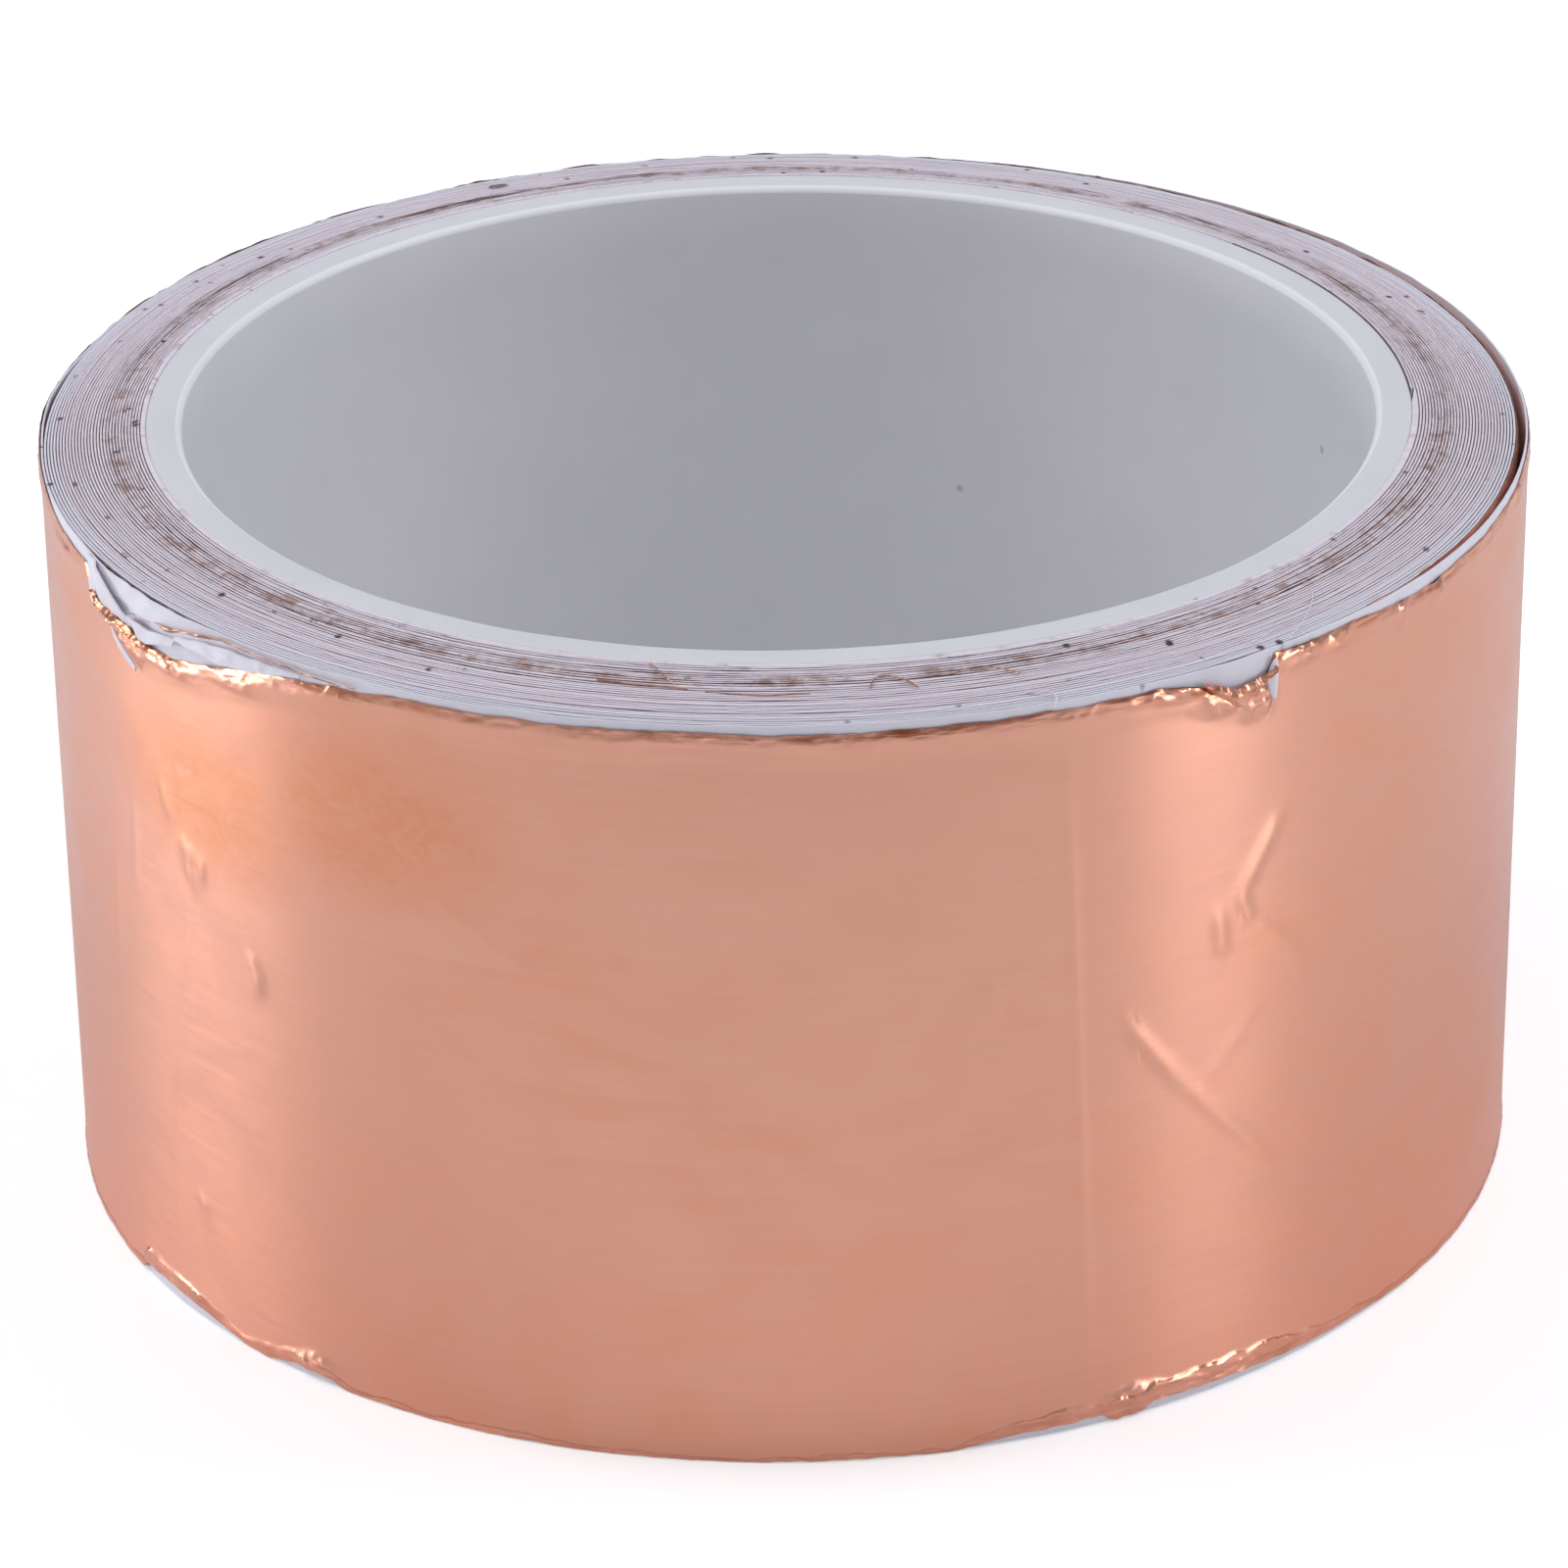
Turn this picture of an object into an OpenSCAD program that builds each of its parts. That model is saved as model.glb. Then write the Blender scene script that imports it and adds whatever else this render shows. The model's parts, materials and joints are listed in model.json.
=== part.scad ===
// Roll of lined copper foil tape on a plain tube core, with its free end lifted off the roll.
// Millimetres, +Z up. The axis of the roll is the Z axis and the roll stands on z = 0.
// Angles are in degrees about the axis, from +X towards +Y, and the strip winds outwards
// in that direction. From outside to inside the strip is copper foil, adhesive and liner.

/* [Core] */
// Inside diameter of the core
core_bore_d = 77; // [25:0.5:160]
// Thickness of the core's wall
core_wall = 2.3; // [1:0.1:8]
// Size of the 45 degree bevel on each inside edge of the core
core_bevel = 0.35; // [0.05:0.05:0.8]

/* [Strip] */
// Width of the tape
tape_width = 50; // [5:1:120]
// Thickness of the copper foil
foil_t = 0.05; // [0.02:0.005:0.2]
// Thickness of the adhesive film
adhesive_t = 0.03; // [0.01:0.005:0.1]
// Thickness of the paper release liner
liner_t = 0.12; // [0.04:0.005:0.25]
// Whole turns on the core before the last, part turn
turns = 32; // [4:1:60]
// How far the turns have slid down, each a little past the one inside it, by the last turn
slide = 0.9; // [0:0.1:2]

/* [Starter strip] */
// Least thickness of the double-sided strip that holds the first turn to the core
starter_t = 0.1; // [0.05:0.01:0.3]
// Length of the starter strip, as an angle around the core
starter_arc = 40; // [10:1:120]

/* [Loose end] */
// Angle at which the strip leaves the roll
tail_root = 318; // [270:1:350]
// Angle around the roll that the loose end spans
tail_arc = 116; // [60:1:150]
// Widest gap between the loose end and the turn under it
tail_lift = 0.7; // [0.3:0.05:1.5]
// Gap under the loose end at its root and at its tip
tail_clear = 0.04; // [0.02:0.01:0.15]

/* [Hidden] */
// Stretches that the loose end bends between
stretches = 6;
// Slit between the stuck part of the strip and the loose part, measured along the strip
root_slit = 0.03;

// Strip
pitch = foil_t + adhesive_t + liner_t;
adhesive_at = liner_t;
foil_at = liner_t + adhesive_t;

// The core reaches from the foot of the last turn to the top of the first
bore_r = core_bore_d / 2;
core_r = bore_r + core_wall;
core_length = tape_width + slide;

// The spiral is made of half turns about two centres, one on each side of the axis, which
// makes it grow by one pitch a turn with no step between one half turn and the next.
half_turn = 180;
centre_shift = pitch / 4;
first_r = core_r + starter_t + centre_shift;
whole_halves = 2 * turns + 1;
last_sweep = tail_root - half_turn;
slit_angle = root_slit / core_r * half_turn / PI;

function odd(k) = k % 2;
function half_centre(k) = [(odd(k) == 1 ? 1 : -1) * centre_shift, 0];
function half_r(k) = first_r + k * pitch / 2;
function half_foot(k) = slide * (1 - k / whole_halves);
function direction(angle) = [cos(angle), sin(angle)];

// Distance from the axis, at a given angle, of a circle whose centre is on the X axis
function reach(centre_x, r, angle) =
    centre_x * cos(angle) + sqrt(pow(r, 2) - pow(centre_x * sin(angle), 2));

// Surface of the roll that lies under the loose end, as a distance from the axis
function under_half(angle) = angle < 2 * half_turn ? whole_halves - 2 : whole_halves - 1;
function under_r(angle) = let (k = under_half(angle))
    reach(half_centre(k).x, half_r(k) + pitch, angle);

// Centre of the circle through three points
function circle_centre(a, b, c) =
    let (
        u = b - a,
        v = c - a,
        d = 2 * (u.x * v.y - u.y * v.x),
        uu = u * u,
        vv = v * v
    )
    a + [v.y * uu - u.y * vv, u.x * vv - v.x * uu] / d;

// Loose end: the inside face is one arc through its root, its crest and its tip
tail_tip = tail_root + tail_arc;
tail_crest = tail_root + tail_arc / 2;
root_point = (under_r(tail_root) + tail_clear) * direction(tail_root);
crest_point = (under_r(tail_crest) + tail_lift) * direction(tail_crest);
tip_point = (under_r(tail_tip) + tail_clear) * direction(tail_tip);
tail_centre = circle_centre(root_point, crest_point, tip_point);
tail_r = norm(root_point - tail_centre);

function angle_seen(point) = atan2(point.y - tail_centre.y, point.x - tail_centre.x);

tail_from = angle_seen(root_point);
stretch_arc = (angle_seen(tip_point) - tail_from) / stretches;

$fn = 180;
COPPER = [0.85, 0.60, 0.50];
GLUE = [0.86, 0.78, 0.66];
PAPER = [0.93, 0.92, 0.95];
PLASTIC = [0.86, 0.88, 0.87];

// One curved wall of the full tape width
module wall(centre, r, thickness, from, sweep)
    translate([centre.x, centre.y, 0])
        rotate_extrude(angle = sweep, start = from)
            translate([r, 0])
                square([thickness, tape_width]);

// Part of one layer of the strip on one half turn, offset from the strip's inside face
module half_layer(k, offset, thickness, sweep)
    translate([0, 0, half_foot(k)])
        wall(half_centre(k), half_r(k) + offset, thickness, half_turn * odd(k), sweep);

// One layer of all the tape that is stuck down on the roll
module winding(offset, thickness) {
    for (k = [0:whole_halves - 1])
        half_layer(k, offset, thickness, half_turn);
    half_layer(whole_halves, offset, thickness, last_sweep - slit_angle);
}

// One layer of one stretch of the loose end
module stretch(k, offset, thickness)
    wall(tail_centre, tail_r + offset, thickness, tail_from + (k - 1) * stretch_arc, stretch_arc);

module core()
    color(PLASTIC)
        rotate_extrude()
            polygon([
                [bore_r + core_bevel, 0],
                [core_r, 0],
                [core_r, core_length],
                [bore_r + core_bevel, core_length],
                [bore_r, core_length - core_bevel],
                [bore_r, core_bevel]
            ]);

// Fills the wedge between the core and the first half turn
module starter_strip()
    color(GLUE)
        difference() {
            translate([0, 0, half_foot(0)])
                wall(half_centre(0), bore_r, first_r - bore_r, 0, starter_arc);
            translate([0, 0, -core_length])
                cylinder(h = 3 * core_length, r = core_r);
        }

module foil_winding()
    color(COPPER)
        winding(foil_at, foil_t);

module adhesive_winding()
    color(GLUE)
        winding(adhesive_at, adhesive_t);

module liner_winding()
    color(PAPER)
        winding(0, liner_t);

module foil_tail(k)
    color(COPPER)
        stretch(k, foil_at, foil_t);

module adhesive_tail(k)
    color(GLUE)
        stretch(k, adhesive_at, adhesive_t);

module liner_tail(k)
    color(PAPER)
        stretch(k, 0, liner_t);

core();
starter_strip();
foil_winding();
adhesive_winding();
liner_winding();
for (k = [1:stretches]) {
    foil_tail(k);
    adhesive_tail(k);
    liner_tail(k);
}
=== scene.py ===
import json
import math

import bpy
import numpy as np
from mathutils import Matrix, Vector


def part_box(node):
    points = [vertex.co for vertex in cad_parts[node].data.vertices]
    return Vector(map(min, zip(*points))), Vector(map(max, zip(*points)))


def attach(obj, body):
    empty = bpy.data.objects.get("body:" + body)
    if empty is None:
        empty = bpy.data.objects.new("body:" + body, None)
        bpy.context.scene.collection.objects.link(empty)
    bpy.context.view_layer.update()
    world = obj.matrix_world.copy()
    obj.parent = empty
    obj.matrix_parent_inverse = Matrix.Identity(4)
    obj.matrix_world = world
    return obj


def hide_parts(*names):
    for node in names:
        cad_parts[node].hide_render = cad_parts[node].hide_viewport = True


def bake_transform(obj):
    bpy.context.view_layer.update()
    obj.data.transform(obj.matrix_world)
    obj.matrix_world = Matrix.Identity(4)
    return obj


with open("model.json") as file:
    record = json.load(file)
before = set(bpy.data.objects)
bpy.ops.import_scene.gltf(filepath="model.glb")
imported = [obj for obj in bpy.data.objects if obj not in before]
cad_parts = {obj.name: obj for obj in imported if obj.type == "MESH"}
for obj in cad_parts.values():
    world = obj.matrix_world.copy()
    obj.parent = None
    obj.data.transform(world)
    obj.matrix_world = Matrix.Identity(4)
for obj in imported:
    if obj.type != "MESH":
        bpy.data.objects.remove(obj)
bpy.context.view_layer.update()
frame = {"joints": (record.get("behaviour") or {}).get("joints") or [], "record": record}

MM = 0.001

# -------- sizes from the frame

# Layers of the strip, from its inside face outwards, as thick as in the part's source
LINER_T = 0.12 * MM
ADHESIVE_T = 0.03 * MM
FOIL_T = 0.05 * MM
PITCH = LINER_T + ADHESIVE_T + FOIL_T
LAYERS = {
    "liner": (0.0, LINER_T),
    "adhesive": (LINER_T, LINER_T + ADHESIVE_T),
    "foil": (LINER_T + ADHESIVE_T, PITCH),
}

CORE_LOW, CORE_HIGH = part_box("core")
WINDING_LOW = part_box("foil_winding")[0]
TAIL_LOW, TAIL_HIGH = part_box("foil_tail_1")
BORE = next(m for m in frame["record"]["mounts"] if m["kind"] == "bore")
BORE_R = BORE["dims"]["r_mm"] * MM
CORE_R = CORE_HIGH.x
CORE_TOP = CORE_HIGH.z
TAPE = TAIL_HIGH.z - TAIL_LOW.z
SLIDE = CORE_TOP - TAPE

# The spiral's half turns have their centres this far to either side of the axis
WHOLE_HALVES = 65
SHIFT = PITCH / 4
OUTER_R = -WINDING_LOW.x
FIRST_R = OUTER_R - SHIFT - PITCH * (WHOLE_HALVES + 1) / 2
WHOLE_TURNS = WHOLE_HALVES // 2

# Loose end: the hinges lie on its outside face, which is one arc
HINGES = [Vector(j["pos_m"]) for j in frame["joints"] if j["name"].startswith("peel_")]
STRETCHES = len(HINGES)


def circle_centre(a, b, c):
    """Centre of the circle through three points, seen from above."""
    u, v = b - a, c - a
    d = 2 * (u.x * v.y - u.y * v.x)
    uu, vv = u.x**2 + u.y**2, v.x**2 + v.y**2
    return Vector((a.x + (v.y * uu - u.y * vv) / d, a.y + (u.x * vv - v.x * uu) / d, 0))


def angle_about(centre, point):
    return math.degrees(math.atan2(point.y - centre.y, point.x - centre.x))


TAIL_C = circle_centre(HINGES[0], HINGES[2], HINGES[-1])
TAIL_R = (HINGES[0] - TAIL_C).xy.length - PITCH
TAIL_FROM = angle_about(TAIL_C, HINGES[0])
TAIL_STEP = (angle_about(TAIL_C, HINGES[-1]) - TAIL_FROM) / (STRETCHES - 1)
ROOT = round(angle_about(Vector((0, 0, 0)), HINGES[0])) % 360
# Turning a degree on the roll is as long a way along the strip as this on the loose end
TAIL_RATE = OUTER_R / (TAIL_R + PITCH)
LAST_FROM = ROOT - 360


# -------- smooth random numbers

LINE_SLOTS, PLANE_SLOTS = 4096, 512  # sizes of the tables of random numbers


def ease(t):
    t = np.clip(t, 0, 1)
    return t * t * (3 - 2 * t)


def bump(x, centre, half):
    """1 at the centre, falling smoothly to 0 at half on either side."""
    return ease(1 - np.abs(np.asarray(x, float) - centre) / half)


def noise1(x, size, seed):
    """Smooth random numbers from -1 to 1, with a new one every size along x."""
    table = np.random.default_rng(seed).uniform(-1, 1, LINE_SLOTS)
    at = np.asarray(x, float) / size
    low = np.floor(at).astype(int)
    w = ease(at - low)
    return table[low % LINE_SLOTS] * (1 - w) + table[(low + 1) % LINE_SLOTS] * w


def noise2(x, y, size_x, size_y, seed):
    """The same over two directions."""
    n = PLANE_SLOTS
    table = np.random.default_rng(seed).uniform(-1, 1, (n, n))
    x, y = np.broadcast_arrays(np.asarray(x, float) / size_x, np.asarray(y, float) / size_y)
    i, j = np.floor(x).astype(int), np.floor(y).astype(int)
    u, v = ease(x - i), ease(y - j)
    i0, i1, j0, j1 = i % n, (i + 1) % n, j % n, (j + 1) % n
    low = table[i0, j0] * (1 - u) + table[i1, j0] * u
    high = table[i0, j1] * (1 - u) + table[i1, j1] * u
    return low * (1 - v) + high * v


def folds(x, y, size, seed):
    """Sharp creases between flat facets, from 0 to 1, as crushed foil has."""
    wide = 1 - np.abs(noise2(x + 0.4 * y, y, size, size, seed))
    fine = 1 - np.abs(noise2(x, y - 0.3 * x, size * 0.45, size * 0.45, seed + 1))
    return np.clip(0.7 * wide**2 + 0.3 * fine**2, 0, 1)


# -------- the strip's path


def on_spiral(angle, offset):
    """Points of the stuck strip at total angles, offset from its inside face."""
    half = np.clip(np.floor(angle / 180.0), 0, WHOLE_HALVES)
    side = np.where(half % 2 == 1, SHIFT, -SHIFT)
    r = FIRST_R + half * PITCH / 2 + offset
    a = np.radians(angle)
    return side + r * np.cos(a), r * np.sin(a)


def on_tail(angle, offset):
    """Points of the loose end at angles past ROOT."""
    t = np.radians(TAIL_FROM + (angle - ROOT) * TAIL_RATE)
    r = TAIL_R + offset
    return TAIL_C.x + r * np.cos(t), TAIL_C.y + r * np.sin(t)


def root_rise():
    """How far the loose end starts outside the stuck strip's own line."""
    tail = np.hypot(*on_tail(np.array(float(ROOT)), 0.0))
    stuck = np.hypot(*on_spiral(np.array(ROOT + 360.0 * WHOLE_TURNS), 0.0))
    return float(tail - stuck)


ROOT_RISE = root_rise()
ROOT_RAMP = 9.0  # degrees over which the stuck strip rises to meet the loose end


def on_outer(angle, offset):
    """Points of the last turn, from LAST_FROM to ROOT, and of the loose end after it."""
    angle, offset = np.broadcast_arrays(np.asarray(angle, float), np.asarray(offset, float))
    rise = ROOT_RISE * ease((angle - ROOT + ROOT_RAMP) / ROOT_RAMP)
    x1, y1 = on_spiral(angle + 360.0 * WHOLE_TURNS, offset + rise + stand_off(angle))
    x2, y2 = on_tail(angle, offset)
    stuck = angle <= ROOT
    return np.where(stuck, x1, x2), np.where(stuck, y1, y2)


def along(angle):
    """Distance along the strip."""
    return np.radians(np.asarray(angle, float) + 360.0 * WHOLE_TURNS) * OUTER_R


def foot_of(total):
    """Height of the strip's lower edge: the inner turns sit a little higher."""
    return SLIDE * np.clip(1 - total / (180.0 * WHOLE_HALVES), 0, 1)


# -------- dents, tears and crumples

KINK = 177.0  # where the last turn stands off the roll
TEAR, NOTCH = 214.0, 304.5  # middles of the tear and of the notch in the copper's upper edge


def stand_off(angle):
    """How far the last turn bulges off the roll, at its kink and at the tear."""
    return 0.22 * MM * bump(angle, KINK - 2, 11) + 0.09 * MM * bump(angle, TEAR + 1, 13)


# Outlines of the copper's edges, as angle and how far in from the strip's edge in mm
TOP_EDGE = [
    (186, 0.0), (193, 0.2), (198, 0.7), (203, 0.8), (205.6, 0.9), (206.6, 2.0), (209, 2.6),
    (212, 2.7), (215, 3.2), (219, 3.1), (224, 2.3), (230, 1.4), (236, 0.8), (243, 0.5),
    (270, 0.5), (298, 0.5), (301, 1.0), (304, 2.0), (306, 1.9), (307.3, 1.6), (307.7, 0.4),
    (316, 0.5), (324, 0.8), (345, 0.4), (380, 0.2),
]
FOOT_EDGE = [
    (206, 0.0), (208.6, 0.1), (209.4, 0.7), (215, 0.9), (221, 0.4), (223, 0.0),
    (226, 0.0), (229, 0.6), (232, 0.5), (234, 0.0), (282, 0.0), (286, 0.4), (293.6, 0.6),
    (294.2, 0.1), (297, 0.1), (298, 0.6), (306, 0.6), (313, 0.4), (330, 0.1),
]
# How far up the crushed, folded band along the bottom edge reaches, in mm
FOOT_BAND = [
    (205, 0.3), (208, 0.5), (209, 1.2), (216, 1.1), (222, 0.5), (228, 1.0), (234, 0.4), (250, 0.4),
    (282, 0.3), (288, 0.9), (291, 1.1), (294, 0.8), (294.4, 1.5), (300, 1.3), (308, 1.5),
    (312, 1.0), (318, 0.6), (324, 0.4),
]
# Crushed spots on the outside: angle, height, half width and half height in mm, depth in mm
CRUSHED = [
    (210, 47.0, 2.2, 0.9, 0.30), (214, 46.3, 2.6, 0.8, 0.34), (219, 46.3, 2.5, 0.6, 0.22),
    (226, 47.2, 2.4, 0.5, 0.18), (200, 48.3, 3.0, 0.6, 0.12), (303.5, 47.6, 2.4, 0.9, 0.30),
    (306, 46.9, 1.5, 1.2, 0.34), (299.5, 49.0, 2.6, 0.6, 0.22), (310, 49.0, 2.2, 0.9, 0.26),
    (314, 48.9, 1.2, 0.7, 0.20), (321.5, 48.6, 0.7, 0.9, 0.20), (326.5, 48.6, 0.8, 0.9, 0.22),
    (231, 1.1, 1.8, 0.8, 0.25), (296, 1.6, 2.0, 0.8, 0.2), (345, 48.8, 0.8, 0.6, 0.15),
]
# Creases in the copper: angle and height in mm of both ends, half width and depth in mm
CREASES = [
    (290.3, 47, 292.4, 3, 0.42, 0.039), (220, 33, 214.6, 8, 0.42, 0.039),
    (295, 27.9, 300, 22.6, 0.45, 0.104), (300, 22.6, 308.5, 15, 0.45, 0.085),
    (308.6, 38.6, 304.9, 34.2, 0.55, 0.114), (304.9, 34.2, 306, 32.4, 0.45, 0.114),
    (306, 32.4, 311.5, 28.2, 0.50, 0.085), (303, 33.6, 303.4, 30.6, 0.60, 0.095),
    (301.8, 22, 306.5, 26, 0.60, 0.026), (218.6, 34.4, 220.4, 33.6, 0.45, 0.133),
    (219.2, 33.4, 220, 31.8, 0.45, 0.133), (221.2, 34, 221, 32, 0.45, 0.114),
    (216.4, 37.6, 217.4, 35.6, 0.45, 0.095), (226.2, 28.6, 227.4, 27, 0.45, 0.133),
    (227.4, 27, 226.4, 26.6, 0.45, 0.114), (218.4, 9.4, 219.4, 8.2, 0.45, 0.114),
    (243.6, 36.6, 247.6, 34.6, 0.45, 0.076), (247.6, 34.6, 251.8, 32.2, 0.45, 0.067),
    (248.2, 13.1, 249.3, 12.8, 0.45, 0.171), (244.6, 11.2, 245.8, 11.5, 0.45, 0.095),
    (257, 33.8, 258.4, 33.5, 0.45, 0.076), (262, 12, 262.8, 11.6, 0.45, 0.076),
    (283.8, 31.9, 285, 30.8, 0.60, 0.076), (285, 30.8, 283.6, 29.6, 0.60, 0.076),
    (212, 35, 211.4, 29, 0.50, 0.039), (208, 30, 207, 20, 0.60, 0.026),
    (268, 42, 269.6, 41.4, 0.42, 0.039), (222, 19, 227, 14, 0.42, 0.026),
]
# Creases in the bare liner at the tear, with the depth as a share of PAPER_RISE
PAPER_CREASES = [
    (207.5, 50.0, 211.5, 47.2, 0.45, 0.30), (212, 47.0, 216.5, 49.4, 0.5, 0.35),
    (216, 48.6, 226, 48.9, 0.45, 0.25),
]
PAPER_RISE = 0.40 * MM


def outline(table, angle):
    """A table's value in metres at each angle."""
    at, value = zip(*table)
    return np.interp(angle, at, value) * MM


def rough_cut(angle, seed):
    """The small unevenness of a cut edge."""
    way = along(angle)
    wide = 0.09 * noise1(way, 2.6 * MM, seed)
    return (wide + 0.05 * noise1(way, 0.7 * MM, seed + 1)) * MM


def edges_of(layer, angle):
    """Heights of a layer's lower and upper edges on the last turn and the loose end."""
    if layer == "liner":
        return 0.03 * MM + 0.4 * np.abs(rough_cut(angle, 31)), TAPE + 0.3 * rough_cut(angle, 33)
    inset = 0.0 if layer == "foil" else 0.04 * MM
    low = outline(FOOT_EDGE, angle) + np.abs(rough_cut(angle, 41)) + inset
    high = TAPE - outline(TOP_EDGE, angle) + rough_cut(angle, 43) - inset
    return low, high


def crease(way, z, stroke):
    """How far a crease between two points lifts each vertex."""
    a0, z0, a1, z1, half, depth = stroke
    p, q = np.array([along(a0), z0 * MM]), np.array([along(a1), z1 * MM])
    d = q - p
    t = np.clip(((way - p[0]) * d[0] + (z - p[1]) * d[1]) / (d @ d), 0, 1)
    gap = np.hypot(way - p[0] - t * d[0], z - p[1] - t * d[1])
    taper = np.minimum(1, 4 * t * (1 - t) + 0.35)
    return depth * MM * taper * np.exp(-((gap / (half * MM)) ** 2))


def crushed(way, z):
    """How far the crumpled spots lift each vertex."""
    lift = np.zeros(np.broadcast(way, z).shape)
    for angle, height, wide, tall, depth in CRUSHED:
        reach = np.hypot((way - along(angle)) / (wide * MM), (z - height * MM) / (tall * MM))
        lift = np.maximum(lift, depth * MM * ease(1.35 - reach))
    return lift * (0.25 + folds(way, z, 0.8 * MM, 51))


def top_rim(way, below):
    """The handled rim of the copper: a low swelling under its edge, with long facets."""
    swell = 0.09 * MM * ease(below / (0.8 * MM)) * ease((2.4 * MM - below) / (1.6 * MM))
    facets = 0.5 + 0.5 * noise2(way, below, 2.2 * MM, 0.5 * MM, 61)
    flecks = folds(way * 0.45, below, 0.45 * MM, 63)
    near = ease((1.3 * MM - below) / (0.9 * MM)) * ease(below / (0.12 * MM))
    return swell * (0.6 + 0.6 * facets) + near * 0.09 * MM * flecks


def band_height(angle):
    """Height of the folded band along the bottom edge."""
    return outline(FOOT_BAND, angle) + 0.15 * MM * noise1(along(angle), 1.1 * MM, 71)


def foot_rim(angle, way, above):
    """The crushed edge along the bottom, which stands out as a folded band in places."""
    height = band_height(angle)
    band = ease((height - above) / (0.12 * MM))
    tall = ease((height - 0.7 * MM) / (0.8 * MM))
    crush = folds(way * 0.6, above, 0.6 * MM, 73)
    return band * (0.03 + 0.05 * tall + 0.14 * crush * (0.4 + 0.6 * tall)) * MM


def relief(angle, z, low, high):
    """How far the copper stands out of its smooth line."""
    way = along(angle)
    wave = 0.022 * MM * (1 + noise2(way, z, 11 * MM, 16 * MM, 81))
    wave = wave + 0.006 * MM * (1 + noise2(way, z, 3.0 * MM, 5 * MM, 82))
    inside = ease((z - low) / (0.3 * MM)) * ease((high - z) / (0.3 * MM))
    lift = wave + top_rim(way, high - z) + foot_rim(angle, way, z - low) + crushed(way, z)
    for stroke in CREASES:
        lift = lift + crease(way, z, stroke) * inside
    return lift


def paper_relief(angle, z):
    """The liner buckles where the copper is torn off it."""
    way = along(angle)
    torn = bump(angle, TEAR, 11) * ease((z - 45.5 * MM) / (1.5 * MM))
    notch = bump(angle, NOTCH, 4) * ease((z - 46.5 * MM) / (1.5 * MM))
    lift = folds(way * 0.5, z, 2.0 * MM, 91) * 0.9 * torn + 0.25 * notch
    for stroke in PAPER_CREASES:
        lift = lift + crease(way, z, stroke) / MM * torn
    return lift * PAPER_RISE


# -------- meshes


def add_object(name, data):
    made = bpy.data.objects.new(name, data)
    bpy.context.scene.collection.objects.link(made)
    return made


class Skin:
    """Faces of one mesh, with each corner's place on the bake map."""

    def __init__(self):
        self.corners, self.counts, self.places = [], [], []

    def grid(self, index, u, v):
        """Quads over a grid of vertex numbers, laid on the map at u and v."""
        here, there = slice(None, -1), slice(1, None)
        uu, vv = np.meshgrid(u, v, indexing="ij")
        turn = [(here, here), (there, here), (there, there), (here, there)]
        faces = np.stack([index[c] for c in turn], -1).reshape(-1, 4)
        places = [np.stack([uu[c], vv[c]], -1) for c in turn]
        self.corners.append(faces.ravel())
        self.counts.append(np.full(len(faces), 4))
        self.places.append(np.stack(places, -2).reshape(-1, 2))

    def face(self, index, low, high):
        """One face of any number of corners, on a small disc of the map."""
        turn = np.linspace(0, 2 * np.pi, len(index), endpoint=False)
        middle, half = (np.array(low) + high) / 2, (np.array(high) - low) / 2
        self.corners.append(np.array(index))
        self.counts.append([len(index)])
        self.places.append(middle + half * np.stack([np.cos(turn), np.sin(turn)], -1))

    def piece(self, name, points, strip, material, sharp=38, rim=None):
        """The finished object. strip gives each vertex its distance along and its height, and
        rim how far it lies below the upper edge and above the folded band at the lower one."""
        corners, counts = np.concatenate(self.corners), np.concatenate(self.counts)
        faces = np.split(corners, np.cumsum(counts)[:-1])
        mesh = bpy.data.meshes.new(name)
        points = np.asarray(points).reshape(-1, 3).tolist()
        mesh.from_pydata(points, [], [f.tolist() for f in faces])
        maps = [("strip", np.asarray(strip).reshape(-1, 2)[corners])]
        if rim is not None:
            maps.append(("rim", np.asarray(rim).reshape(-1, 2)[corners]))
        maps.append(("OFBake", np.concatenate(self.places)))
        for label, values in maps:
            layer = mesh.uv_layers.new(name=label)
            layer.uv.foreach_set("vector", values.astype(np.float32).ravel())
        mesh.polygons.foreach_set("use_smooth", np.ones(len(mesh.polygons), bool))
        mesh.set_sharp_from_angle(angle=math.radians(sharp))
        mesh.materials.append(material)
        return add_object(name, mesh)


# Where the faces that close a sheet at its two ends lie on the bake map
START_SPOT = (0.0, 0.0), (0.01, 0.009)
END_SPOT = (0.02, 0.0), (0.03, 0.009)


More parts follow.
